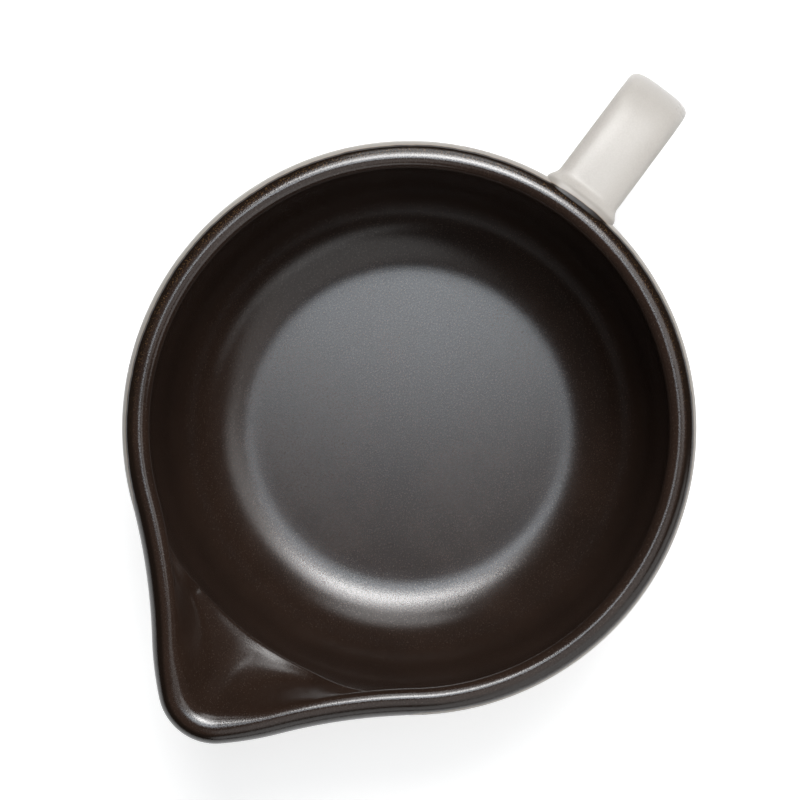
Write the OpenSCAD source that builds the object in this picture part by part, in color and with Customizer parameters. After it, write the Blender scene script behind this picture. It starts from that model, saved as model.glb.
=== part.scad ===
// Round stoneware cooking pot with a pouring spout and a strap handle.
// The origin is on the bowl's axis, in the plane that the foot stands on.
// +Z is up, +X points along the spout and the handle lies towards -X. All sizes are in millimetres.

/* [Bowl] */
// Radius over the outside of the rim, glaze included
rim_r = 79; // [77:0.5:84]
// Height from the table to the top of the rim
pot_h = 82; // [76:0.5:96]
// Thickness of the wall, both glazes included
wall_t = 5.4; // [4.8:0.1:6.4]
// Thickness of the floor
floor_t = 5.4; // [4.4:0.1:7.4]
// Radius of the flat part of the floor inside
floor_r = 46.4; // [44:0.2:48]
// Radius of the curve from the floor into the wall
floor_fillet = 25; // [20:0.5:27]
// Radius of the curve that turns the wall upright
turn_r = 45; // [40:1:55]
// Depth below the rim where the wall stands upright
turn_drop = 30; // [24:0.5:34]

/* [Foot] */
// Outer radius of the foot ring
foot_r = 50.5; // [49.5:0.1:53]
// Width of the foot ring
foot_w = 6.5; // [5:0.1:9]
// Depth of the hollow inside the foot ring
foot_h = 3.6; // [2.4:0.1:5]
// Rounding of the foot ring's edges
foot_round = 0.8; // [0.4:0.1:1.2]

/* [Rim] */
// Radius of the rim's outer rounding
bead_out = 5; // [4.4:0.1:5.4]
// Radius of the rim's inner rounding
bead_in = 2.7; // [2.4:0.1:3.2]
// Radius of the hollow under the rim's inner edge
neck_r = 2; // [1.4:0.1:3]

/* [Spout] */
// Distance of the spout's tip from the bowl's axis
spout_reach = 104.6; // [100:0.2:110]
// Radius of the tip seen from above
tip_r = 16; // [13:0.5:18]
// Half angle over which the tip keeps that radius
tip_sweep = 41; // [37:1:44]
// Radius of the bulge between the tip and the hollow flank
side_r = 94; // [70:1:120]
// Radius of the hollow flank that runs into the rim
flank_r = 164; // [130:1:200]
// Radius of the lip's outer rounding at the tip
tip_lip = 4.4; // [4:0.1:5]
// Radius of the lip's inner rounding at the tip
tip_in = 6; // [5:0.1:7]
// Depth below the rim where the trough runs into the bowl
trough_drop = 20; // [17:0.5:22]
// Slope of the trough's middle where it leaves the bowl, in degrees
trough_slope = 21; // [14:1:26]
// Slope of the trough's sides where they leave the bowl, in degrees
side_slope = 8; // [4:1:14]
// Rise of the trough's edge from its middle to 30 degrees round the bowl
edge_rise = 8; // [5:0.5:11]
// Depth below the rim where the spout's underside runs into the wall
root_drop = 28; // [25:0.5:32]

/* [Handle] */
// Distance of the handle's outermost point from the bowl's axis
handle_reach = 119.8; // [114:0.2:126]
// Width of the strap
handle_w = 19.4; // [16:0.2:23]
// Thickness of the strap
handle_t = 8.2; // [7:0.1:9.4]
// Drop of the strap's top face below the rim where it leaves the wall
handle_top = 2.2; // [1.8:0.1:5]
// Depth below the rim of the strap's outermost point
handle_mid = 30; // [26:0.5:33]
// Depth below the rim where the strap runs back into the wall
handle_low = 56; // [52:0.5:58]
// Radius of the flare at both ends of the strap
flare_r = 3.6; // [2.6:0.1:4.6]

/* [Glaze] */
// Thickness of the fired glaze
glaze_t = 0.5; // [0.35:0.05:0.7]
// Angle up the rim's outer rounding where the dark glaze meets the pale one
glaze_line = 45; // [36:1:55]
// Bare clay left between the foot ring and the pale glaze
coat_gap = 1.5; // [0.8:0.1:2.5]

/* [Hidden] */

clay_colour = "#c8b49c";
dark_colour = "#2c2420";
pale_colour = "#d6d0c8";

// Steps along the rim's section, the spout's outline and the strap
rim_steps = 4;
bead_steps = 6;
trough_steps = 6;
wall_steps = 2;
under_steps = 4;
outer_steps = 14;
lower_steps = 4;
fillet_steps = 8;
foot_steps = 3;
tip_steps = 5;
side_steps = 3;
flank_steps = 8;
strap_steps = 34;
strap_sides = 20;
turn_facets = 120;

// Inside of the bowl
floor_z = foot_h + floor_t;
wall_in = rim_r - wall_t;
turn_z = pot_h - turn_drop;
fillet_c = [floor_r, floor_z + floor_fillet];
turn_c = [wall_in - turn_r, turn_z];
turn_run = turn_c - fillet_c;
wall_lean = atan2(turn_run[1], turn_run[0]) + asin((floor_fillet - turn_r) / norm(turn_run));
wall_side = wall_lean - 90;

// Hollow under the rim's inner edge
crest_r = rim_r - bead_out;
neck_run = crest_r - wall_in + neck_r;
neck_fall = sqrt(pow(bead_in + neck_r, 2) - pow(neck_run, 2));
neck_z = pot_h - bead_in - neck_fall;
neck_turn = atan2(neck_fall, neck_run);

// Spout: angles round the rim's section where the lip's rounding ends, inside and below
lip_inside = 145;
lip_below = -40;
dark_below = -20;
trough_full = 8.5;
groove_half = 11;
rise_at = 30;
tip_full = 12;
trough_pull = [0.3, 0.36];
under_pull = [0.22, 0.32];
root_z = pot_h - root_drop;
seam_step = 0.5;

// Spout outline: tip, bulge and flank are arcs, each tangent to the next, and the flank to the rim
tip_c = [spout_reach - tip_r, 0];
side_c = tip_c + (tip_r - side_r) * [cos(tip_sweep), sin(tip_sweep)];
side_d = norm(side_c);
flank_d = rim_r + flank_r;
flank_x = (pow(flank_d, 2) - pow(side_r + flank_r, 2) + pow(side_d, 2)) / (2 * side_d);
flank_y = sqrt(pow(flank_d, 2) - pow(flank_x, 2));
flank_c = (flank_x * side_c + flank_y * [-side_c[1], side_c[0]]) / side_d;
side_end = atan2(flank_c[1] - side_c[1], flank_c[0] - side_c[0]);
flank_end = atan2(flank_c[1], flank_c[0]);
spout_margin = 2;
spout_half = flank_end + spout_margin;
line_fade = 8;

// Handle: middle line of the strap, from the rim out, down and back to the wall
strap_bury = 3;
strap_round = 2.8;
flare_stop = 0.15;
strap_top = [rim_r - strap_bury, pot_h - handle_top - handle_t / 2];
strap_mid = [handle_reach - handle_t / 2, pot_h - handle_mid];
strap_low_z = pot_h - handle_low;
strap_low = [wall_r(strap_low_z, wall_t) - strap_bury, strap_low_z];
strap_pull = [0.9, 0.88, 0.72, 0.66];
strap_low_slope = 10;
end_crowding = 0.75;

notch_room = 6;

function mix(a, b, w) = a + (b - a) * w;
function smooth(x) = let (c = min(max(x, 0), 1)) c * c * (3 - 2 * c);
function on_circle(c, r, a) = c + r * [cos(a), sin(a)];
function arc(c, r, a0, a1, n) = [for (i = [0:n]) on_circle(c, r, mix(a0, a1, i / n))];
function reverse(list) = [for (i = [len(list) - 1:-1:0]) list[i]];
function tail(list) = [for (i = [1:len(list) - 1]) list[i]];
function flat(list) = [for (row = list) for (p = row) p];
function bezier(p, u) =
    pow(1 - u, 3) * p[0] + 3 * u * pow(1 - u, 2) * p[1] + 3 * u * u * (1 - u) * p[2] + pow(u, 3) * p[3];

// Radius of the wall at height z, measured off outwards from the bowl's finished inside
function wall_r(z, off) =
    let (
        high = on_circle(turn_c, turn_r + off, wall_side),
        low = on_circle(fillet_c, floor_fillet + off, wall_side)
    )
    z >= turn_z ? wall_in + off
    : z >= high[1] ? turn_c[0] + sqrt(pow(turn_r + off, 2) - pow(z - turn_z, 2))
    : z >= low[1] ? low[0] + (z - low[1]) / tan(wall_lean)
    : floor_r + sqrt(pow(floor_fillet + off, 2) - pow(z - fillet_c[1], 2));

// A station on the lip's outline, as a list of six values: x, y, the direction of its outward normal,
// its share of the trough's form, its share of the tip's form, and how far the glaze line has dropped there
rim_station = [rim_r, 0, 0, 0, 0, 0];
function station(p, a) =
    let (out = norm(p) - rim_r, round_the_bowl = abs(atan2(p[1], p[0])))
    [
        p[0], p[1], a, smooth(out / trough_full), smooth((out - tip_full) / tip_full),
        smooth((spout_half - round_the_bowl) / line_fade)
    ];

half_outline = concat(
    [for (i = [0:tip_steps]) let (a = tip_sweep * i / tip_steps)
        station(on_circle(tip_c, tip_r, a), a)],
    [for (i = [1:side_steps]) let (a = mix(tip_sweep, side_end, i / side_steps))
        station(on_circle(side_c, side_r, a), a)],
    [for (i = [1:flank_steps]) let (a = mix(side_end, flank_end, i / flank_steps))
        station(on_circle(flank_c, -flank_r, a), a)],
    [station(on_circle([0, 0], rim_r, spout_half), spout_half)]
);
function mirrored(s) = [s[0], -s[1], -s[2], s[3], s[4], s[5]];
outline = concat([for (s = reverse(tail(half_outline))) mirrored(s)], half_outline);

// Where a point of the rim's section lies at a station
function place(s, p) = concat([s[0], s[1]] - (rim_r - p[0]) * [cos(s[2]), sin(s[2])], [p[1]]);
// Direction at angle a round the bowl that rises by up, and one that leaves the lip's rounding smoothly
function heading(a, up) = [cos(a) * cos(up), sin(a) * cos(up), sin(up)];
function leaving(s, a, up) =
    let (v = [cos(a) * cos(up), sin(a) * cos(up), sin(up) * cos(s[2] - a)]) v / norm(v);
function round_bowl(p) = atan2(p[1], p[0]);
function on_wall(a, r, z) = [r * cos(a), r * sin(a), z];

function lip_r(s) = mix(bead_out, tip_lip, s[4]);
function lip_in_r(s) = mix(bead_in, tip_in, s[4]);
function lip_line(s) = mix(glaze_line, dark_below, s[5]);
function lip_out(s, e, a) = place(s, on_circle([rim_r - lip_r(s), pot_h - lip_r(s)], lip_r(s) - e, a));
function lip_in(s, e, a) = place(s, on_circle([rim_r - lip_r(s), pot_h - lip_in_r(s)], lip_in_r(s) - e, a));

// The trough, which is the hollow under the rim's inner edge away from the spout, e inside the glaze face
function trough(s, e) =
    let (
        end = mix(180 + neck_turn, lip_inside, s[3]),
        top = lip_in(s, e, end),
        a = round_bowl(top),
        edge_z = pot_h - trough_drop + edge_rise * pow(a / rise_at, 2),
        slope = mix(trough_slope, side_slope, smooth(abs(a) / groove_half)),
        foot = on_wall(a, wall_in + e, mix(neck_z, edge_z - e, s[3])),
        hollow = 4 / 3 * tan(neck_turn / 4) * (neck_r + e),
        span = norm(top - foot),
        top_pull = mix(hollow, trough_pull[0] * span, s[3]),
        foot_pull = mix(hollow, trough_pull[1] * span, s[3])
    )
    [
        top, top + top_pull * leaving(s, a, end + 90),
        foot + foot_pull * heading(a, mix(90, slope, s[3])), foot
    ];

// Inner face at a station, from the glaze line over the lip and down to the root plane
function inner_face(s, e) =
    let (bend = trough(s, e), foot = bend[3], a = round_bowl(foot))
    concat(
        [for (i = [0:rim_steps - 1]) lip_out(s, e, mix(lip_line(s), 90, i / rim_steps))],
        [for (i = [0:bead_steps])
            lip_in(s, e, mix(90, mix(180 + neck_turn, lip_inside, s[3]), i / bead_steps))],
        [for (i = [1:trough_steps]) bezier(bend, i / trough_steps)],
        [for (i = [1:wall_steps]) let (z = mix(foot[2], root_z, i / wall_steps)) on_wall(a, wall_r(z, e), z)]
    );

// Outer face at a station, from the glaze line round the lip's edge and down to the root plane
function outer_face(s, e) =
    let (
        below = lip_below * s[3],
        edge = lip_out(s, e, below),
        a = round_bowl(edge),
        root = on_wall(a, wall_r(root_z, wall_t - e), root_z),
        lean = atan2(1, wall_r(root_z + 1, wall_t - e) - wall_r(root_z, wall_t - e)),
        span = norm(edge - root),
        bend = [
            edge, edge + mix(under_pull[1], under_pull[0], s[3]) * span * leaving(s, a, below - 90),
            root + under_pull[1] * span * heading(a, lean), root
        ]
    )
    concat(
        [for (i = [0:under_steps]) lip_out(s, e, mix(lip_line(s), below, i / under_steps))],
        [for (i = [1:outer_steps]) bezier(bend, i / outer_steps)]
    );

// The same faces in section away from the spout, carried on through the root plane with no corner in it
function section(points) = [for (i = [0:len(points) - 2]) [points[i][0], points[i][2]]];
function lower_wall(off, stop) =
    let (low = on_circle(fillet_c, floor_fillet + off, wall_side))
    concat(
        [for (z = [root_z + seam_step, root_z - seam_step]) [wall_r(z, off), z]],
        [for (i = [1:lower_steps]) let (z = mix(root_z, low[1], i / lower_steps)) [wall_r(z, off), z]],
        tail(arc(fillet_c, floor_fillet + off, wall_side, stop, fillet_steps))
    );
function base_stop(r, e) = asin((r - floor_r) / (floor_fillet + wall_t - e)) - 90;
function inside_section(e) =
    concat(section(inner_face(rim_station, e)), lower_wall(e, -90), [[0, floor_z - e]]);
function outside_section(e, r) =
    concat(section(outer_face(rim_station, e)), lower_wall(wall_t - e, base_stop(r, e)));
foot_section = concat(
    arc([foot_r - foot_round, foot_round], foot_round, 0, -90, foot_steps),
    arc([foot_r - foot_w + foot_round, foot_round], foot_round, -90, -180, foot_steps),
    arc([foot_r - foot_w - foot_round, foot_h - foot_round], foot_round, 0, 90, foot_steps),
    [[0, foot_h]]
);
function filled_section(e) =
    concat(
        [[0, pot_h - e]],
        arc([crest_r, pot_h - bead_out], bead_out - e, 90, glaze_line, rim_steps),
        tail(outside_section(e, floor_r)),
        [[0, floor_z - wall_t + e]]
    );

// Solid between two faces, face_a further out, each a list of rows of points with one row for each station.
// Where face_b has one point less, both faces start from the first point of face_a.
// The facets of a face fall the same way in either place, so that neighbouring shells meet exactly.
module shell(face_a, face_b) {
    rows = [for (i = [0:len(face_a) - 1]) concat(face_a[i], reverse(face_b[i]))];
    n = len(rows[0]);
    last = (len(rows) - 1) * n;
    shared = len(face_a[0]) - len(face_b[0]);
    opposite = n - 1 + shared;
    middle = (len(rows) - 1) / 2;
    sides = [for (i = [0:len(rows) - 2]) for (j = [0:n - 1])
        let (a = i * n + j, b = i * n + (j + 1) % n, crossed = (i < middle) != (j < len(face_a[0])))
        each crossed ? [[a, a + n, b + n], [a, b + n, b]] : [[a, a + n, b], [b, a + n, b + n]]];
    point = shared == 1 ? [[0, 1, n - 1]] : [];
    strip = [for (i = [shared:len(face_a[0]) - 2])
        each [[i, i + 1, opposite - i], [i + 1, opposite - i - 1, opposite - i]]];
    first_cap = concat(point, strip);
    last_cap = [for (f = first_cap) [f[0] + last, f[2] + last, f[1] + last]];
    polyhedron(flat(rows), concat(sides, first_cap, last_cap));
}

// Solid ring of sections, closed along its rows and from its last row to its first. Its first half faces out.
module ring(rows) {
    n = len(rows[0]);
    m = len(rows);
    sides = [for (i = [0:m - 1]) for (j = [0:n - 1])
        let (a = i * n + j, b = i * n + (j + 1) % n, step = ((i + 1) % m - i) * n, c = a + step, d = b + step)
        each i < m / 2 ? [[a, b, c], [b, d, c]] : [[a, b, d], [a, d, c]]];
    polyhedron(flat(rows), sides);
}

// Solid through sections, with flat ends
module loft(rows) {
    n = len(rows[0]);
    last = (len(rows) - 1) * n;
    sides = [for (i = [0:len(rows) - 2]) for (j = [0:n - 1])
        let (a = i * n + j, b = i * n + (j + 1) % n) each [[a, b, a + n], [b, b + n, a + n]]];
    ends = [for (j = [1:n - 2]) each [[0, j + 1, j], [last, last + j, last + j + 1]]];
    polyhedron(flat(rows), concat(sides, ends));
}

// Middle line of the strap and its sections, e inside the glaze face
strap_upper = [
    strap_top, strap_top + strap_pull[0] * [strap_mid[0] - strap_top[0], 0],
    strap_mid + strap_pull[1] * [0, strap_top[1] - strap_mid[1]], strap_mid
];
strap_lower = [
    strap_mid, strap_mid - strap_pull[2] * [0, strap_mid[1] - strap_low[1]],
    strap_low + strap_pull[3] * (strap_mid[0] - strap_low[0]) * [cos(strap_low_slope), sin(strap_low_slope)],
    strap_low
];
function strap_line(u) = u < 0.5 ? bezier(strap_upper, 2 * u) : bezier(strap_lower, 2 * u - 1);
function flare(d) =
    let (x = flare_r * (1 - min(max(d / flare_r, flare_stop), 1))) flare_r - sqrt(pow(flare_r, 2) - x * x);
function sign_pow(x, p) = sign(x) * pow(abs(x), p);
function strap_section(u, e) =
    let (
        step = 0.001,
        p = strap_line(u),
        ahead = strap_line(min(u + step, 1)) - strap_line(max(u - step, 0)),
        along = ahead / norm(ahead),
        side = [-along[1], along[0]],
        swell = flare(p[0] - wall_r(p[1], wall_t)) - e
    )
    [for (j = [0:strap_sides - 1])
        let (
            a = 360 * j / strap_sides,
            y = (handle_w / 2 + swell) * sign_pow(cos(a), 2 / strap_round),
            q = p + side * (handle_t / 2 + swell) * sign_pow(sin(a), 2 / strap_round)
        )
        [-q[0], y, q[1]]];
function strap(e) =
    [for (i = [0:strap_steps])
        let (v = i / strap_steps) strap_section(mix(v, smooth(v), end_crowding), e)];

// A turned form, whose seam lies to one side, clear of the spout and the handle
module turned(points) {
    rotate([0, 0, 90]) rotate_extrude($fn = turn_facets) polygon(points);
}

// The gap in the bowl's wall that takes the spout
module notch() {
    in = wall_in - bead_in - notch_room;
    rotate([0, 0, -spout_half])
        rotate_extrude(angle = 2 * spout_half, $fn = turn_facets)
            translate([in, root_z])
                square([rim_r + notch_room - in, root_drop + notch_room]);
}

module bowl() {
    outside = outside_section(glaze_t, foot_r);
    color(clay_colour)
        difference() {
            turned(concat(inside_section(glaze_t), reverse(foot_section), reverse(tail(outside))));
            notch();
        }
}

module spout() {
    color(clay_colour)
        shell([for (s = outline) outer_face(s, glaze_t)], [for (s = outline) tail(inner_face(s, glaze_t))]);
}

module handle() {
    color(clay_colour)
        difference() {
            loft(strap(glaze_t));
            turned(filled_section(glaze_t));
        }
}

module bowl_liner_glaze() {
    color(dark_colour)
        difference() {
            turned(concat(inside_section(0), reverse(inside_section(glaze_t))));
            notch();
            loft(strap(glaze_t));
        }
}

module spout_liner_glaze() {
    color(dark_colour)
        shell([for (s = outline) inner_face(s, glaze_t)], [for (s = outline) inner_face(s, 0)]);
}

module bowl_coat_glaze() {
    edge_r = foot_r + coat_gap;
    color(pale_colour)
        difference() {
            turned(concat(outside_section(0, edge_r), reverse(outside_section(glaze_t, edge_r))));
            notch();
            loft(strap(glaze_t));
        }
}

module spout_coat_glaze() {
    color(pale_colour)
        shell([for (s = outline) outer_face(s, 0)], [for (s = outline) outer_face(s, glaze_t)]);
}

module handle_coat_glaze() {
    color(pale_colour)
        difference() {
            ring(concat(strap(0), reverse(strap(glaze_t))));
            turned(filled_section(0));
        }
}

bowl();
spout();
handle();
bowl_liner_glaze();
spout_liner_glaze();
bowl_coat_glaze();
spout_coat_glaze();
handle_coat_glaze();
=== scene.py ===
"""Looks of a stoneware cooking pot with a pouring spout and a strap handle.

The clay comes from the frame. Two closed skins of fired glaze and a glazed strap are modelled here, on the
same formulas as the solids. Lengths are in millimetres and angles in radians until a mesh is made."""

import math

import bpy
import numpy as np
from mathutils import Matrix, Vector


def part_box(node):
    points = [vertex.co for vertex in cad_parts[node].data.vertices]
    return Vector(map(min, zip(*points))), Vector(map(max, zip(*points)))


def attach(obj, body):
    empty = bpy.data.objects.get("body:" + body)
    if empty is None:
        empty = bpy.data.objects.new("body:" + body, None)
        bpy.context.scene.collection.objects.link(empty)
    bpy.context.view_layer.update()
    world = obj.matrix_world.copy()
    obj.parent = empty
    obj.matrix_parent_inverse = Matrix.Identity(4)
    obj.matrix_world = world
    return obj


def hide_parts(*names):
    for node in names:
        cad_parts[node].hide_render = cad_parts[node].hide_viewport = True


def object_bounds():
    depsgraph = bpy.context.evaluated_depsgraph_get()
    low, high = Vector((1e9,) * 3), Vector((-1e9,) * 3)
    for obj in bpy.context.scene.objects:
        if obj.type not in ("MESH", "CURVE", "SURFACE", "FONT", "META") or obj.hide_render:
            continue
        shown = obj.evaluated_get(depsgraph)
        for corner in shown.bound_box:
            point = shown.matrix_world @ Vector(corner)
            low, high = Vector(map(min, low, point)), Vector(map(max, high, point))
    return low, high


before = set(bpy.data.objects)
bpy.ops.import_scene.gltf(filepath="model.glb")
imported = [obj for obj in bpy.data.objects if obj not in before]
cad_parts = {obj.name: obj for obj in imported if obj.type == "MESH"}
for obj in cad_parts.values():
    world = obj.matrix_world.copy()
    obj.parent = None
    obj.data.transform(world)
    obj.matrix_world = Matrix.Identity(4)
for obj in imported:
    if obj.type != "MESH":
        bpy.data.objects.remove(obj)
cad_low, cad_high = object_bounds()

MM = 0.001


def measured(value):
    """A length from the frame, in millimetres, cut to whole tenths."""
    return math.floor(value / MM * 10 + 0.01) / 10


# Bowl
RIM_R = measured(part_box("bowl_coat_glaze")[1].y)
POT_H = measured(cad_high.z)
WALL_T = 5.4
FOOT_H = 3.6
FLOOR_T = 5.4
FLOOR_R = 46.4
FLOOR_FILLET = 25.0
TURN_R = 45.0
TURN_DROP = 30.0
COAT_EDGE_R = 52.0

# Rim
BEAD_OUT = 5.0
BEAD_IN = 2.7
NECK_R = 2.0

# Spout
SPOUT_REACH = measured(cad_high.x)
TIP_R = 16.0
TIP_SWEEP = math.radians(41)
SIDE_R = 94.0
FLANK_R = 164.0
TIP_LIP = 4.4
TIP_IN = 6.0
TROUGH_DROP = 20.0
# A little steeper at the sides than in the solids, after the shading in the photograph
TROUGH_SLOPE = (math.radians(12), math.radians(22))
ROOT_DROP = 28.0
LIP_INSIDE = math.radians(145)
LIP_BELOW = math.radians(-40)
TROUGH_FULL = 8.5
GROOVE_HALF = math.radians(11)
# The crease rises sooner than in the solids, after the photograph
EDGE_RISE = 16.0
RISE_AT = math.radians(30)
TIP_FULL = 12.0
TROUGH_PULL = (0.3, 0.36)
UNDER_PULL = (0.22, 0.32)
CREASE = (0.1, 0.8)

# Handle
HANDLE_REACH = measured(-cad_low.x)
HANDLE_W = 19.4
HANDLE_T = 8.2
HANDLE_TOP = 2.2
HANDLE_MID = 30.0
HANDLE_LOW = 56.0
STRAP_BURY = 3.0
# Squarer than in the solids, after the photograph
STRAP_ROUND = 3.4
STRAP_PULL = (0.9, 0.88, 0.72, 0.66)
STRAP_LOW_SLOPE = math.radians(10)
FLARE_R = 3.6
FLARE_STOP = 0.54
FLARE_EASE = 0.5
# The glaze stands out at the upper bend, which is fuller in the photograph than in the solids
BEND_SWELL = 0.9
BEND_TURN = (math.radians(26), math.radians(50), math.radians(76))

# Glaze: its thickness, where the dark one ends, measured outwards from the rim's crest at the bowl and at
# the spout, and how the edge dives
GLAZE_T = 0.5
DARK_EDGE = (4.4, 9.6)
EDGE_FADE = (math.radians(32), math.radians(40))
EDGE_RUN = 1.1
EDGE_DIVE = 0.24
EDGE_PAST = 0.5
COAT_SINK = 0.07
COAT_UNDER = 1.2
FAR = 99.0

# Mesh steps round the lip and along the strap, and rows of each stretch of the two skins
STATION_STEP = 1.0
STRAP_STEP = 0.6
STRAP_SIDES = 120
STRAP_SAMPLES = 800
SECTION_SAMPLES = 4001
BEAD_ROWS = 18
TROUGH_ROWS = 20
CREASE_ROWS = 5
WALL_ROWS = 26
FILLET_ROWS = 20
FLOOR_ROWS = 16
FLOOR_LAST_R = 1.0
LIP_ROWS = 24
UNDER_ROWS = 40
OUTER_WALL_ROWS = 20
BASE_ROWS = 24
DARK_EDGE_ROWS = 30
COAT_ROWS = 70
COAT_CROWD = 1.25
# The hidden backs keep one row in so many. The coat's chords must stay inside its hollow under the spout
LINER_BACK = 3
COAT_BACK = 2
STRAP_BACK = 3

# Derived places
FLOOR_Z = FOOT_H + FLOOR_T
WALL_IN = RIM_R - WALL_T
TURN_Z = POT_H - TURN_DROP
ROOT_Z = POT_H - ROOT_DROP
CREST_R = RIM_R - BEAD_OUT
FILLET_C = np.array([FLOOR_R, FLOOR_Z + FLOOR_FILLET])
TURN_C = np.array([WALL_IN - TURN_R, TURN_Z])
TURN_RUN = TURN_C - FILLET_C
WALL_LEAN = math.atan2(TURN_RUN[1], TURN_RUN[0]) + math.asin(
    (FLOOR_FILLET - TURN_R) / np.linalg.norm(TURN_RUN))
WALL_SIDE = WALL_LEAN - math.pi / 2
NECK_RUN = CREST_R - WALL_IN + NECK_R
NECK_FALL = math.sqrt((BEAD_IN + NECK_R) ** 2 - NECK_RUN ** 2)
NECK_Z = POT_H - BEAD_IN - NECK_FALL
NECK_TURN = math.atan2(NECK_FALL, NECK_RUN)


def smooth(x):
    c = np.clip(x, 0.0, 1.0)
    return c * c * (3.0 - 2.0 * c)


def mix(a, b, w):
    return a + (b - a) * w


def polar(a):
    return np.stack([np.cos(a), np.sin(a)], axis=-1)


def bezier(p, u):
    """A cubic curve through control points p, each (stations, 3), at u, a (rows, stations) array."""
    u = u[..., None]
    v = 1.0 - u
    return v ** 3 * p[0] + 3 * u * v * v * p[1] + 3 * u * u * v * p[2] + u ** 3 * p[3]


def unit(v):
    return v / np.linalg.norm(v, axis=-1, keepdims=True)


def heading(a, up):
    """Direction at angle a round the bowl that rises by up."""
    return np.stack([np.cos(a) * np.cos(up), np.sin(a) * np.cos(up), np.sin(up) * np.ones_like(a)], axis=-1)


def wall_r(z, off):
    """Radius of the wall at height z, measured off outwards from the finished inside."""
    high_z = TURN_Z + (TURN_R + off) * math.sin(WALL_SIDE)
    low = FILLET_C + (FLOOR_FILLET + off) * polar(WALL_SIDE)
    turn = TURN_C[0] + np.sqrt(np.maximum((TURN_R + off) ** 2 - (z - TURN_Z) ** 2, 0.0))
    cone = low[0] + (z - low[1]) / math.tan(WALL_LEAN)
    fillet = FILLET_C[0] + np.sqrt(np.maximum((FLOOR_FILLET + off) ** 2 - (z - FILLET_C[1]) ** 2, 0.0))
    lower = np.where(z >= low[1], cone, fillet)
    return np.where(z >= TURN_Z, WALL_IN + off, np.where(z >= high_z, turn, lower))


def on_bowl(a, r, z):
    return np.stack([r * np.cos(a), r * np.sin(a), z * np.ones_like(a)], axis=-1)


class Lip:
    """Stations round the lip's outline: from the spout's tip past one flank, round the rim and back."""

    def __init__(self):
        tip_c = np.array([SPOUT_REACH - TIP_R, 0.0])
        side_c = tip_c + (TIP_R - SIDE_R) * polar(TIP_SWEEP)
        side_d = np.linalg.norm(side_c)
        flank_d = RIM_R + FLANK_R
        flank_x = (flank_d ** 2 - (SIDE_R + FLANK_R) ** 2 + side_d ** 2) / (2 * side_d)
        flank_y = math.sqrt(flank_d ** 2 - flank_x ** 2)
        flank_c = (flank_x * side_c + flank_y * np.array([-side_c[1], side_c[0]])) / side_d
        side_end = math.atan2(flank_c[1] - side_c[1], flank_c[0] - side_c[0])
        flank_end = math.atan2(flank_c[1], flank_c[0])
        legs = [
            (tip_c, TIP_R, 0.0, TIP_SWEEP),
            (side_c, SIDE_R, TIP_SWEEP, side_end),
            (flank_c, -FLANK_R, side_end, flank_end),
            (np.zeros(2), RIM_R, flank_end, math.pi),
        ]
        points, normals = [], []
        for centre, radius, start, stop in legs:
            count = math.ceil(abs(radius * (stop - start)) / STATION_STEP)
            angle = np.linspace(start, stop, count, endpoint=False)
            points.append(centre + radius * polar(angle))
            normals.append(angle)
        point, normal = np.concatenate(points), np.concatenate(normals)
        far = np.array([[-RIM_R, 0.0]])
        self.point = np.concatenate([point, far, (point * [1, -1])[:0:-1]])
        self.normal = np.concatenate([normal, [math.pi], -normal[:0:-1]])
        out = np.linalg.norm(self.point, axis=1) - RIM_R
        self.round_bowl = np.arctan2(self.point[:, 1], self.point[:, 0])
        self.trough = smooth(out / TROUGH_FULL)
        self.tip = smooth((out - TIP_FULL) / TIP_FULL)
        self.radius = mix(BEAD_OUT, TIP_LIP, self.tip)
        self.inner_r = mix(BEAD_IN, TIP_IN, self.tip)
        drop = smooth((EDGE_FADE[1] - np.abs(self.round_bowl)) / (EDGE_FADE[1] - EDGE_FADE[0]))
        self.edge = mix(DARK_EDGE[0], DARK_EDGE[1], drop) + self.wander()

    def wander(self):
        """How the dark glaze's edge strays, as a sum of waves round the rim."""
        a = self.round_bowl
        waves = [
            (0.55, 1, 0.4), (0.08, 7, 0.4), (0.06, 12, 2.1), (0.05, 23, 4.4),
            (0.04, 41, 1.2), (0.035, 67, 3.3), (0.03, 101, 5.2), (0.025, 149, 0.9),
        ]
        return sum(size * np.sin(count * a + phase) for size, count, phase in waves)

    def place(self, r, z):
        """Points of the rim's section at the stations."""
        flat = self.point - (RIM_R - r)[..., None] * polar(self.normal)
        return np.concatenate([flat, z[..., None]], axis=-1)

    def outer(self, a):
        """The lip's outer rounding at angle a up its section."""
        return self.place(RIM_R - self.radius + self.radius * np.cos(a),
                          POT_H - self.radius + self.radius * np.sin(a))

    def inner(self, a):
        """The lip's inner rounding at angle a up its section."""
        return self.place(RIM_R - self.radius + self.inner_r * np.cos(a),
                          POT_H - self.inner_r + self.inner_r * np.sin(a))

    def leaving(self, a, up):
        """Direction in the radial plane at a that leaves the lip's rounding smoothly."""
        return unit(np.stack([np.cos(a) * np.cos(up), np.sin(a) * np.cos(up),
                              np.sin(up) * np.cos(self.normal - a)], axis=-1))


lip = Lip()
STATIONS = len(lip.normal)


def rows(start, stop, count, skip_first=True):
    """Even steps from start to stop at every station, as a (rows, stations) array."""
    w = np.linspace(0.0, 1.0, count + 1)[1 if skip_first else 0:, None]
    return mix(start * np.ones(STATIONS), stop * np.ones(STATIONS), w)


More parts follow.
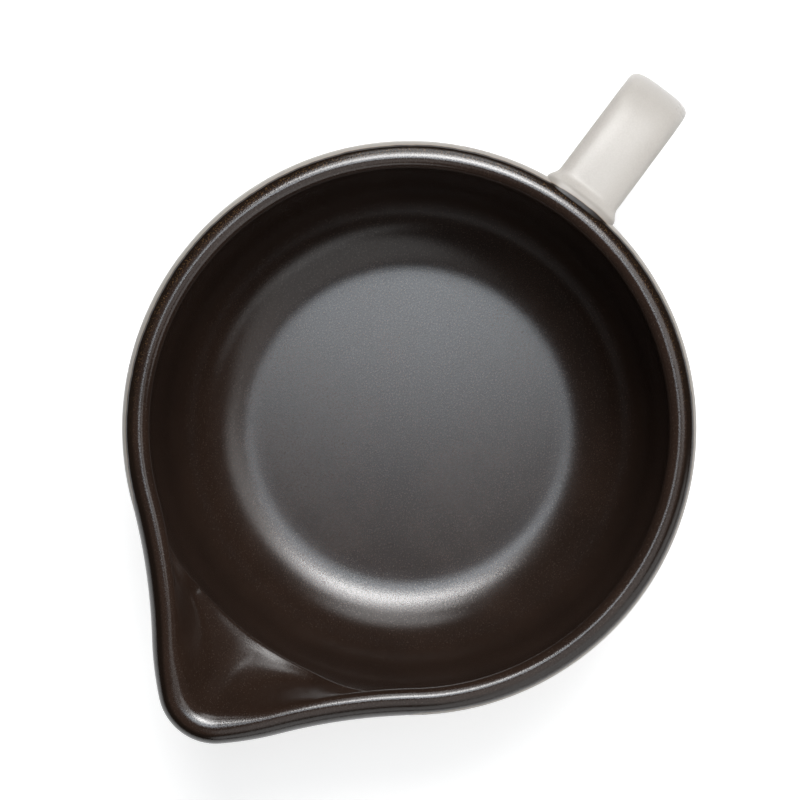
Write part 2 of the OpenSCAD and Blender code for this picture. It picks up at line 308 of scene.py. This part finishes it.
def inside_rows():
    """The finished inside, from the lip's crest by trough, wall and fillet to the floor's middle."""
    end = mix(math.pi + NECK_TURN, LIP_INSIDE, lip.trough)
    bead = lip.inner(rows(math.pi / 2, end, BEAD_ROWS, skip_first=False))
    top = bead[-1]
    a = np.arctan2(top[:, 1], top[:, 0])
    foot_z = mix(NECK_Z, POT_H - TROUGH_DROP + EDGE_RISE * (a / RISE_AT) ** 2, lip.trough)
    slope = mix(TROUGH_SLOPE[1], TROUGH_SLOPE[0], smooth(np.abs(a) / GROOVE_HALF))
    foot = on_bowl(a, WALL_IN, foot_z)
    hollow = 4 / 3 * math.tan(NECK_TURN / 4) * NECK_R
    span = np.linalg.norm(top - foot, axis=1)
    top_pull = mix(hollow, TROUGH_PULL[0] * span, lip.trough)
    foot_pull = mix(hollow, TROUGH_PULL[1] * span, lip.trough)
    bend = [
        top,
        top + top_pull[:, None] * lip.leaving(a, end + math.pi / 2),
        foot + foot_pull[:, None] * heading(a, mix(math.pi / 2, slope, lip.trough)),
        foot,
    ]
    crease = mix(CREASE[0], CREASE[1], lip.trough)
    trough = bezier(bend, rows(0.0, 1.0 - crease / (3 * foot_pull), TROUGH_ROWS))
    wall_top = on_bowl(a, wall_r(foot_z - crease, 0.0), foot_z - crease)
    edge = bezier([trough[-1], mix(trough[-1], foot, 2 / 3), mix(wall_top, foot, 2 / 3), wall_top],
                  rows(0.0, 1.0, CREASE_ROWS))
    low = FILLET_C + FLOOR_FILLET * polar(WALL_SIDE)
    z = rows(foot_z - crease, low[1], WALL_ROWS)
    wall = on_bowl(a * np.ones_like(z), wall_r(z, 0.0), z)
    turn = rows(WALL_SIDE, -math.pi / 2, FILLET_ROWS)
    fillet = on_bowl(a * np.ones_like(turn), FILLET_C[0] + FLOOR_FILLET * np.cos(turn),
                     FILLET_C[1] + FLOOR_FILLET * np.sin(turn))
    r = rows(FLOOR_R, FLOOR_LAST_R, FLOOR_ROWS)
    floor = on_bowl(a * np.ones_like(r), r, FLOOR_Z)
    return np.concatenate([bead, trough, edge, wall, fillet, floor])


def outside_rows():
    """The finished outside, from the lip's crest round its edge and down the wall to the bare foot."""
    below = LIP_BELOW * lip.trough
    bead = lip.outer(rows(math.pi / 2, below, LIP_ROWS, skip_first=False))
    edge = bead[-1]
    a = np.arctan2(edge[:, 1], edge[:, 0])
    root_r = float(wall_r(np.array(ROOT_Z), WALL_T))
    root = on_bowl(a, root_r, ROOT_Z)
    lean = math.atan2(1.0, float(wall_r(np.array(ROOT_Z + 1.0), WALL_T)) - root_r)
    span = np.linalg.norm(edge - root, axis=1)[:, None]
    pull = mix(UNDER_PULL[1], UNDER_PULL[0], lip.trough)[:, None]
    bend = [
        edge,
        edge + pull * span * lip.leaving(a, below - math.pi / 2),
        root + UNDER_PULL[1] * span * heading(a, lean),
        root,
    ]
    upper = bezier(bend, rows(0.0, 1.0, UNDER_ROWS))
    arc_r = FLOOR_FILLET + WALL_T
    low = FILLET_C + arc_r * polar(WALL_SIDE)
    z = rows(ROOT_Z, low[1], OUTER_WALL_ROWS)
    wall = on_bowl(a * np.ones_like(z), wall_r(z, WALL_T), z)
    stop = math.asin((COAT_EDGE_R - FLOOR_R) / arc_r) - math.pi / 2
    turn = rows(WALL_SIDE, stop, BASE_ROWS)
    base = on_bowl(a * np.ones_like(turn), FILLET_C[0] + arc_r * np.cos(turn),
                   FILLET_C[1] + arc_r * np.sin(turn))
    return np.concatenate([bead, upper, wall, base])


def run_of(grid):
    """Distance along each station's line from its first row."""
    steps = np.linalg.norm(np.diff(grid, axis=0), axis=2)
    return np.concatenate([np.zeros((1, grid.shape[1])), np.cumsum(steps, axis=0)])


def walk(grid, distance):
    """Points at the given distances, (rows, stations), along each station's line."""
    run = run_of(grid)
    found = np.empty(distance.shape + (3,))
    for i in range(grid.shape[1]):
        for axis in range(3):
            found[:, i, axis] = np.interp(distance[:, i], run[:, i], grid[:, i, axis])
    return found


def outward(grid):
    """Unit normals of a grid that runs round its stations, on the side that its rows and stations turn to."""
    down = np.gradient(grid, axis=0)
    around = np.roll(grid, -1, axis=1) - np.roll(grid, 1, axis=1)
    return unit(np.cross(down, around))


def strip_faces(upper, lower):
    """Quads between two closed rows of vertex numbers."""
    return np.stack([upper, lower, np.roll(lower, -1), np.roll(upper, -1)], axis=1)


def mesh_piece(name, points, faces, attributes):
    """A smooth mesh object from points in millimetres, with one value at each point for each attribute."""
    mesh = bpy.data.meshes.new(name)
    mesh.from_pydata((points * MM).tolist(), [], faces)
    for key, values in attributes.items():
        layer = mesh.attributes.new(key, "FLOAT", "POINT")
        layer.data.foreach_set("value", np.asarray(values, np.float32))
    mesh.polygons.foreach_set("use_smooth", np.ones(len(mesh.polygons), bool))
    mesh.update()
    piece = bpy.data.objects.new(name, mesh)
    bpy.context.scene.collection.objects.link(piece)
    return piece


def skin(name, face, back, attributes, middle=None):
    """A closed skin between a face and its back, both (rows, stations, 3), the back with fewer rows.

    Without a middle both ends of the rows are joined. With one, the last rows close on a point each."""
    points = [face.reshape(-1, 3), back.reshape(-1, 3)]
    face_ids = np.arange(face.shape[0] * STATIONS).reshape(-1, STATIONS)
    back_ids = np.arange(back.shape[0] * STATIONS).reshape(-1, STATIONS) + face_ids.size
    quads = [strip_faces(face_ids[i], face_ids[i + 1]) for i in range(len(face_ids) - 1)]
    quads += [strip_faces(back_ids[i + 1], back_ids[i]) for i in range(len(back_ids) - 1)]
    quads.append(strip_faces(back_ids[0], face_ids[0]))
    faces = []
    if middle is None:
        quads.append(strip_faces(face_ids[-1], back_ids[-1]))
    else:
        points.append(np.asarray(middle))
        first = face_ids.size + back_ids.size
        for ids, centre, flip in ((face_ids[-1], first, False), (back_ids[-1], first + 1, True)):
            pairs = zip(ids.tolist(), np.roll(ids, -1).tolist())
            faces += [(a, b, centre) if flip else (a, centre, b) for a, b in pairs]
    faces += np.concatenate(quads).tolist()
    points = np.concatenate(points)
    values = {k: np.concatenate([v.ravel(), np.zeros(len(points) - v.size)]) for k, v in attributes.items()}
    return mesh_piece(name, points, faces, values)


def make_liner(inside, outside):
    """The dark glaze: inside, over the lip and down to its wandering edge."""
    edge_rows = rows(lip.edge + EDGE_PAST, 0.0, DARK_EDGE_ROWS, skip_first=False)
    over = walk(outside, edge_rows)
    grid = np.concatenate([over, inside[1:]])
    normal = -outward(grid)
    to_edge = np.concatenate([lip.edge - edge_rows, np.full(inside[1:].shape[:2], FAR)])
    sink = EDGE_DIVE * (1.0 - smooth((to_edge + EDGE_PAST) / EDGE_RUN))
    face = grid - sink[..., None] * normal
    back = (grid - GLAZE_T * normal)[::LINER_BACK]
    out = np.concatenate([edge_rows, -run_of(inside)[1:]])
    middle = [[0.0, 0.0, FLOOR_Z], [0.0, 0.0, FLOOR_Z - GLAZE_T]]
    return skin("dark_glaze_liner", face[:, ::-1], back[:, ::-1], {"out_mm": out[:, ::-1]}, middle)


def make_coat(outside):
    """The pale glaze on the outside, from under the dark one's edge to the bare foot."""
    run = run_of(outside)
    start = lip.edge - COAT_UNDER
    crowded = rows(0.0, 1.0, COAT_ROWS, skip_first=False) ** COAT_CROWD
    distance = start + crowded * (run[-1] - start)
    grid = walk(outside, distance)
    normal = outward(grid)
    past_edge = distance - lip.edge
    sink = COAT_SINK * (1.0 - smooth(past_edge / EDGE_RUN))
    face = grid - sink[..., None] * normal
    back = (grid - GLAZE_T * normal)[::COAT_BACK]
    return skin("pale_glaze_coat", face, back, {"edge_mm": past_edge})


def strap_line():
    """The middle line of the strap, as points (x outwards, z up) at even steps, and its directions."""
    low_z = POT_H - HANDLE_LOW
    top = np.array([RIM_R - STRAP_BURY, POT_H - HANDLE_TOP - HANDLE_T / 2])
    mid = np.array([HANDLE_REACH - HANDLE_T / 2, POT_H - HANDLE_MID])
    low = np.array([float(wall_r(np.array(low_z), WALL_T)) - STRAP_BURY, low_z])
    upper = [top, top + STRAP_PULL[0] * np.array([mid[0] - top[0], 0.0]),
             mid + STRAP_PULL[1] * np.array([0.0, top[1] - mid[1]]), mid]
    lower = [mid, mid - STRAP_PULL[2] * np.array([0.0, mid[1] - low[1]]),
             low + STRAP_PULL[3] * (mid[0] - low[0]) * polar(STRAP_LOW_SLOPE), low]
    u = np.linspace(0.0, 1.0, STRAP_SAMPLES)
    line = np.concatenate([bezier(upper, u), bezier(lower, u)[1:]])
    run = np.concatenate([[0.0], np.cumsum(np.linalg.norm(np.diff(line, axis=0), axis=1))])
    even = np.linspace(0.0, run[-1], math.ceil(run[-1] / STRAP_STEP))
    line = np.stack([np.interp(even, run, line[:, axis]) for axis in range(2)], axis=1)
    return line, unit(np.gradient(line, axis=0))


def strap_outline():
    """The strap's section as shares of its half width and half thickness, at even steps."""
    a = np.linspace(0.0, 2 * math.pi, SECTION_SAMPLES)
    share = np.sign(polar(a)) * np.abs(polar(a)) ** (2 / STRAP_ROUND)
    half = np.array([HANDLE_W / 2, HANDLE_T / 2])
    run = np.concatenate([[0.0], np.cumsum(np.linalg.norm(np.diff(share * half, axis=0), axis=1))])
    even = np.linspace(0.0, run[-1], STRAP_SIDES, endpoint=False)
    return np.stack([np.interp(even, run, share[:, axis]) for axis in range(2)], axis=1)


def flare(clear):
    """How much the strap's section grows at a distance clear of the wall, eased where the flare stops."""
    past = clear - FLARE_STOP
    eased = FLARE_STOP + (past + np.sqrt(past ** 2 + FLARE_EASE ** 2)) / 2
    short = FLARE_R * (1.0 - np.minimum(eased / FLARE_R, 1.0))
    return FLARE_R - np.sqrt(FLARE_R ** 2 - short ** 2)


def bend_swell(along):
    """How much the strap's outer side stands out at its upper bend, by the angle that it has turned."""
    turn = np.arctan2(-along[:, 1], along[:, 0])
    return BEND_SWELL * smooth(turn / BEND_TURN[0]) * smooth((BEND_TURN[2] - turn) / BEND_TURN[1])


def edge_radius(a):
    """Radius of the dark glaze's edge at angle a round the bowl, away from the spout."""
    order = np.argsort(lip.round_bowl)
    edge = np.interp(a, lip.round_bowl[order], lip.edge[order])
    return CREST_R + BEAD_OUT * np.sin(edge / BEAD_OUT)


def make_handle():
    """The pale glaze round the strap, whose flared ends run into the bowl's rim and wall."""
    line, along = strap_line()
    share = strap_outline()
    across = np.stack([-along[:, 1], along[:, 0]], axis=1)
    swell = flare(line[:, 0] - wall_r(line[:, 1], WALL_T))
    lift = bend_swell(along)[:, None] * np.maximum(share[:, 1], 0.0)

    def rings(inset):
        wide = HANDLE_W / 2 + swell - inset
        thick = HANDLE_T / 2 + swell - inset
        q = line[:, None] + across[:, None] * (thick[:, None] * share[:, 1] + lift)[..., None]
        return np.stack([-q[..., 0], wide[:, None] * share[:, 0], q[..., 1]], axis=-1)

    face = rings(0.0)
    back = rings(GLAZE_T)[::STRAP_BACK]
    radius = np.hypot(face[..., 0], face[..., 1])
    past_edge = np.where(face[..., 2] > POT_H - BEAD_OUT,
                         radius - edge_radius(np.arctan2(face[..., 1], face[..., 0])), FAR)
    grid = np.concatenate([face, back[::-1]])
    ids = np.arange(grid.shape[0] * STRAP_SIDES).reshape(-1, STRAP_SIDES)
    quads = [strip_faces(ids[i - 1], ids[i]) for i in range(len(ids))]
    values = {"edge_mm": np.concatenate([past_edge.ravel(), np.full(back.shape[0] * STRAP_SIDES, FAR)])}
    return mesh_piece("pale_glaze_strap", grid.reshape(-1, 3), np.concatenate(quads).tolist(), values)


inside = inside_rows()
outside = outside_rows()
liner = make_liner(inside, outside)
coat = make_coat(outside)
strap = make_handle()


# Materials

def new_material(name):
    material = bpy.data.materials.new(name)
    material.use_nodes = True
    tree = material.node_tree
    return material, tree, tree.nodes["Principled BSDF"]


def add(tree, kind, inputs=None, **settings):
    """A shader node with its settings and input values; an input that is a socket is linked."""
    made = tree.nodes.new("ShaderNode" + kind)
    for key, value in settings.items():
        setattr(made, key, value)
    for key, value in (inputs or {}).items():
        if isinstance(value, bpy.types.NodeSocket):
            tree.links.new(value, made.inputs[key])
        else:
            made.inputs[key].default_value = value
    return made


def noise(tree, coords, scale, detail=2.0, roughness=0.5):
    inputs = {"Vector": coords, "Scale": scale, "Detail": detail, "Roughness": roughness}
    return add(tree, "TexNoise", inputs).outputs["Fac"]


def ramp(tree, value, low, high, to_low=0.0, to_high=1.0):
    """Value taken from low..high to to_low..to_high, smoothly and clamped."""
    inputs = {"Value": value, "From Min": low, "From Max": high, "To Min": to_low, "To Max": to_high}
    return add(tree, "MapRange", inputs, interpolation_type="SMOOTHSTEP").outputs["Result"]


def blend(tree, a, b, share):
    """Colour a to colour b by share."""
    made = add(tree, "Mix", data_type="RGBA")
    for key, value in (("A", a), ("B", b), ("Factor", share)):
        socket = next(s for s in made.inputs if s.name == key and s.enabled)
        if isinstance(value, bpy.types.NodeSocket):
            tree.links.new(value, socket)
        else:
            socket.default_value = value
    return next(s for s in made.outputs if s.enabled)


def times(tree, a, b):
    return add(tree, "Math", {0: a, 1: b}, operation="MULTIPLY").outputs[0]


def attribute(tree, name):
    return add(tree, "Attribute", attribute_name=name).outputs["Fac"]


def object_coords(tree):
    return add(tree, "TexCoord").outputs["Object"]


def bump(tree, shader, height, distance):
    made = add(tree, "Bump", {"Height": height, "Distance": distance, "Strength": 1.0})
    tree.links.new(made.outputs["Normal"], shader.inputs["Normal"])


# Colours are linear. The two indices of refraction and the bump depths, in metres, set how satin each is
DARK_IOR = 1.66
DARK_BUMP = 0.000025
PALE_IOR = 1.4
PALE_BUMP = 0.00002
CLAY_BUMP = 0.00012
DARK = (0.0240, 0.0139, 0.0100, 1)
DARK_WARM = (0.0315, 0.0178, 0.0124, 1)
DARK_FLECK = (0.0750, 0.0560, 0.0440, 1)
DARK_BROWN = (0.0120, 0.0068, 0.0044, 1)
# Golden crystal flecks, and the direction of the rim's side that faces the key lamps; keeping the flecks to
# that lit side is a painted highlight
GOLD = (0.160, 0.090, 0.038, 1)
GOLD_LIT_SIDE = (-0.8, -0.6, 0.0)
PALE = (0.530, 0.497, 0.459, 1)
PALE_LIGHT = (0.567, 0.534, 0.494, 1)
PALE_FINE = (0.610, 0.577, 0.539, 1)
PALE_THIN = (0.400, 0.370, 0.335, 1)
PALE_BROWN = (0.330, 0.235, 0.165, 1)
SPECK = (0.340, 0.300, 0.255, 1)
CLAY = (0.46, 0.35, 0.25, 1)
CLAY_DARK = (0.30, 0.205, 0.135, 1)
CLAY_GROG = (0.60, 0.51, 0.40, 1)


def dark_glaze():
    """Near-black brown satin, smoother on the rim, with golden crystals on its crest that are painted only on
    the side facing the key lamps, as a painted highlight.
    """
    material, tree, shader = new_material("dark_satin_glaze")
    coords = object_coords(tree)
    clouds = noise(tree, coords, 45, 4, 0.6)
    grain = noise(tree, coords, 2100, 3, 0.6)
    crystals = noise(tree, coords, 2400, 2, 0.6)
    out = attribute(tree, "out_mm")
    colour = blend(tree, DARK, DARK_WARM, ramp(tree, clouds, 0.3, 0.7))
    colour = blend(tree, colour, DARK_FLECK, times(tree, ramp(tree, grain, 0.54, 0.70), 0.45))
    colour = blend(tree, colour, DARK_BROWN, ramp(tree, out, 1.0, 2.2))
    band = times(tree, ramp(tree, out, 0.6, 1.6), ramp(tree, out, 3.4, 1.8))
    # Painted highlight: the golden flecks show only on the rim's side that faces the key lamps
    side = add(tree, "VectorMath", {0: coords, 1: GOLD_LIT_SIDE}, operation="DOT_PRODUCT").outputs["Value"]
    band = times(tree, band, ramp(tree, side, -0.02, 0.06))
    lit_crystals = times(tree, band, ramp(tree, crystals, 0.52, 0.70))
    colour = blend(tree, colour, GOLD, times(tree, lit_crystals, 0.8))
    tree.links.new(colour, shader.inputs["Base Color"])
    matt = ramp(tree, clouds, 0.3, 0.7, 0.200, 0.222)
    polish = ramp(tree, out, -5.0, -3.0, 1.0, 0.78)
    tree.links.new(times(tree, matt, polish), shader.inputs["Roughness"])
    shader.inputs["IOR"].default_value = DARK_IOR
    tree.links.new(ramp(tree, grain, 0.3, 0.7, 0.42, 0.58), shader.inputs["Specular IOR Level"])
    bump(tree, shader, grain, DARK_BUMP)
    return material


def pale_glaze():
    """Warm grey satin with fine grain and faint specks, thinner and browner towards the dark one's edge."""
    material, tree, shader = new_material("pale_satin_glaze")
    coords = object_coords(tree)
    clouds = noise(tree, coords, 60, 4, 0.6)
    grain = noise(tree, coords, 2200, 2)
    colour = blend(tree, PALE, PALE_LIGHT, ramp(tree, clouds, 0.3, 0.7))
    colour = blend(tree, colour, PALE_FINE, times(tree, ramp(tree, grain, 0.3, 0.7), 0.5))
    specks = times(tree, ramp(tree, noise(tree, coords, 1500, 1), 0.70, 0.80), 0.12)
    colour = blend(tree, colour, SPECK, specks)
    edge = attribute(tree, "edge_mm")
    colour = blend(tree, colour, PALE_THIN, ramp(tree, edge, 2.4, 1.2))
    colour = blend(tree, colour, PALE_BROWN, times(tree, ramp(tree, edge, 0.35, 0.05), 0.7))
    colour = blend(tree, colour, DARK_BROWN, ramp(tree, edge, 0.1, -0.1))
    tree.links.new(colour, shader.inputs["Base Color"])
    tree.links.new(ramp(tree, clouds, 0.3, 0.7, 0.27, 0.31), shader.inputs["Roughness"])
    shader.inputs["IOR"].default_value = PALE_IOR
    bump(tree, shader, grain, PALE_BUMP)
    return material


def bare_clay():
    """Rough fired stoneware with pale grains of grog."""
    material, tree, shader = new_material("bare_stoneware")
    coords = object_coords(tree)
    body = noise(tree, coords, 160, 5, 0.65)
    grain = noise(tree, coords, 1400, 3, 0.6)
    colour = blend(tree, CLAY, CLAY_DARK, ramp(tree, body, 0.35, 0.75))
    grog = times(tree, ramp(tree, noise(tree, coords, 900, 1), 0.64, 0.72), 0.8)
    colour = blend(tree, colour, CLAY_GROG, grog)
    tree.links.new(colour, shader.inputs["Base Color"])
    tree.links.new(ramp(tree, grain, 0.3, 0.7, 0.78, 0.92), shader.inputs["Roughness"])
    bump(tree, shader, grain, CLAY_BUMP)
    return material


def dress(piece, material, nodes=()):
    """Give a piece its material and, where it stands for solids, attach it to the root body and hide those
    solids.
    """
    piece.data.materials.clear()
    piece.data.materials.append(material)
    if nodes:
        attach(piece, "root")
        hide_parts(*nodes)


dark, pale, clay = dark_glaze(), pale_glaze(), bare_clay()
dress(liner, dark, ("bowl_liner_glaze", "spout_liner_glaze"))
dress(coat, pale, ("bowl_coat_glaze", "spout_coat_glaze"))
dress(strap, pale, ("handle_coat_glaze",))
for name in ("bowl", "spout", "handle"):
    dress(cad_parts[name], clay)


# Stage, light and camera, in metres

CAMERA_RISE = 0.650
RIM_PLANE = 0.07775
FRAME_SIZE = 0.2198
CAMERA_XY = (-0.004618, -0.006663)
IMAGE_RIGHT = Vector((-0.6004, 0.7997, 0.0))
IMAGE_UP = Vector((-0.7997, -0.6004, 0.0))
SENSOR = 36.0
COOL = (0.85, 0.93, 1.0)
LAMP_AWAY = 1.2
FLOOR_REACH = 3.0
FLOOR_SINK = 0.0002
FLOOR_GREY = (0.7, 0.7, 0.7, 1)
FLOOR_GLOW = 0.65
WORLD_GLOW = 0.03


def make_camera():
    data = bpy.data.cameras.new("camera")
    data.sensor_width = SENSOR
    data.lens = SENSOR * CAMERA_RISE / FRAME_SIZE
    camera = bpy.data.objects.new("camera", data)
    turn = Matrix((IMAGE_RIGHT, IMAGE_UP, Vector((0.0, 0.0, 1.0)))).transposed().to_4x4()
    camera.matrix_world = Matrix.Translation((*CAMERA_XY, RIM_PLANE + CAMERA_RISE)) @ turn
    bpy.context.scene.collection.objects.link(camera)
    bpy.context.scene.camera = camera


def softbox(name, tilt, towards, tall, wide, power, colour=(1, 1, 1)):
    """A soft light, tilted from overhead by tilt degrees towards an angle counted from image right.

    It covers tall by wide degrees of the sky, tall along the tilt."""
    t = math.radians(tilt)
    a = math.radians(towards)
    flat = IMAGE_RIGHT * math.cos(a) + IMAGE_UP * math.sin(a)
    direction = flat * math.sin(t) + Vector((0.0, 0.0, math.cos(t)))
    data = bpy.data.lights.new(name, "AREA")
    data.shape = "ELLIPSE"
    data.size = 2 * LAMP_AWAY * math.tan(math.radians(wide) / 2)
    data.size_y = 2 * LAMP_AWAY * math.tan(math.radians(tall) / 2)
    data.energy = power
    data.color = colour
    lamp = bpy.data.objects.new(name, data)
    lamp.location = direction * LAMP_AWAY + Vector((0.0, 0.0, FLOOR_Z * MM))
    lamp.rotation_mode = "QUATERNION"
    lamp.rotation_quaternion = direction.to_track_quat("Z", "Y")
    lamp.visible_camera = False
    bpy.context.scene.collection.objects.link(lamp)


def make_floor():
    """A pale floor that glows for the camera and in reflections only, so that it looks white."""
    mesh = bpy.data.meshes.new("floor")
    corners = [(-1, -1), (1, -1), (1, 1), (-1, 1)]
    points = [(x * FLOOR_REACH, y * FLOOR_REACH, -FLOOR_SINK) for x, y in corners]
    mesh.from_pydata(points, [], [(0, 1, 2, 3)])
    floor = bpy.data.objects.new("floor", mesh)
    bpy.context.scene.collection.objects.link(floor)
    material, tree, shader = new_material("white_floor")
    shader.inputs["Base Color"].default_value = FLOOR_GREY
    shader.inputs["Roughness"].default_value = 0.9
    ray = add(tree, "LightPath").outputs
    seen = ray["Is Camera Ray"]
    for kind in ("Is Glossy Ray", "Is Transmission Ray"):
        seen = add(tree, "Math", {0: seen, 1: ray[kind]}, operation="MAXIMUM").outputs[0]
    shader.inputs["Emission Color"].default_value = (1, 1, 1, 1)
    tree.links.new(times(tree, seen, FLOOR_GLOW), shader.inputs["Emission Strength"])
    mesh.materials.append(material)


def make_world():
    world = bpy.data.worlds.new("studio")
    bpy.context.scene.world = world
    world.use_nodes = True
    background = world.node_tree.nodes["Background"]
    background.inputs["Color"].default_value = (1, 1, 1, 1)
    background.inputs["Strength"].default_value = WORLD_GLOW


make_camera()
make_floor()
make_world()
softbox("key", tilt=21, towards=86, tall=14, wide=26, power=5.1)
softbox("key_side", tilt=28, towards=66, tall=18, wide=24, power=1.5)
softbox("key_low", tilt=34, towards=84, tall=16, wide=30, power=2.45)
softbox("key_under", tilt=53, towards=84, tall=20, wide=32, power=1.6)
softbox("right_fill", tilt=25, towards=38, tall=24, wide=42, power=1.6)
softbox("side_fill", tilt=31, towards=300, tall=44, wide=44, power=1.5)
softbox("low_strip", tilt=68, towards=306, tall=36, wide=86, power=3.6)
softbox("overhead", tilt=7, towards=90, tall=15, wide=22, power=1.65, colour=COOL)
bpy.context.scene.view_settings.view_transform = "Standard"
